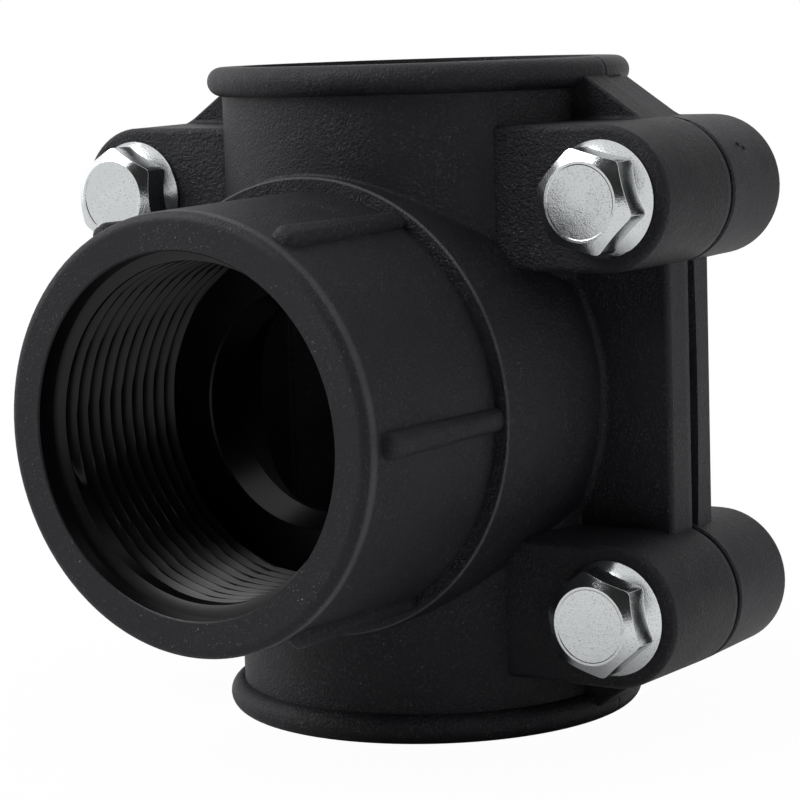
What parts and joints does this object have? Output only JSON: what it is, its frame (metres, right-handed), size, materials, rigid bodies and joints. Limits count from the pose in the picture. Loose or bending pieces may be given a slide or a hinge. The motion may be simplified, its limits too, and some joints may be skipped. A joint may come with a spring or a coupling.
{
  "type": "tapping saddle",
  "caption": "Two-part moulded clamp saddle for plastic water pipe, with a female threaded branch, a port seal and flanged hexagon bolts in round lugs.",
  "frame": {"origin": "where the pipe axis meets the branch axis", "axes": "+Z along the pipe, -Y out of the threaded branch, +X to the right seen from the branch"},
  "size_m": [0.098, 0.089, 0.0926],
  "materials": {
    "black_moulding": "fine satin grain",
    "seal_rubber": "matt",
    "zinc_steel": "bright zinc plating"
  },
  "bodies": {
    "saddle": {"saddle_body": "black_moulding", "port_seal": "seal_rubber"},
    "clamp": {"clamp_half": "black_moulding", "nut_upper_right": "zinc_steel", "nut_upper_left": "zinc_steel", "nut_lower_right": "zinc_steel", "nut_lower_left": "zinc_steel"},
    "upper_right_bolt": {"bolt_upper_right": "zinc_steel"},
    "upper_left_bolt": {"bolt_upper_left": "zinc_steel"},
    "lower_right_bolt": {"bolt_lower_right": "zinc_steel"},
    "lower_left_bolt": {"bolt_lower_left": "zinc_steel"}
  },
  "joints": [
    {"name": "upper_right_turn", "type": "hinge", "parent": "saddle", "child": "upper_right_bolt", "pos_m": [0.039, 0, 0.0279], "axis": [0, -1, 0], "range_deg": [0, 1800]},
    {"name": "upper_left_turn", "type": "hinge", "parent": "saddle", "child": "upper_left_bolt", "pos_m": [-0.039, 0, 0.0279], "axis": [0, -1, 0], "range_deg": [0, 1800]},
    {"name": "lower_right_turn", "type": "hinge", "parent": "saddle", "child": "lower_right_bolt", "pos_m": [0.039, 0, -0.0279], "axis": [0, -1, 0], "range_deg": [0, 1800]},
    {"name": "lower_left_turn", "type": "hinge", "parent": "saddle", "child": "lower_left_bolt", "pos_m": [-0.039, 0, -0.0279], "axis": [0, -1, 0], "range_deg": [0, 1800]},
    {"name": "clamp_slide", "type": "slide", "parent": "saddle", "child": "clamp", "axis": [0, 1, 0], "range_m": [0, 0.00625]}
  ],
  "couplings": [
    {"joint": "upper_left_turn", "follows": "upper_right_turn", "ratio": 1},
    {"joint": "lower_right_turn", "follows": "upper_right_turn", "ratio": 1},
    {"joint": "lower_left_turn", "follows": "upper_right_turn", "ratio": 1},
    {"joint": "clamp_slide", "follows": "upper_right_turn", "m_per_rad": 0.00019894}
  ]
}
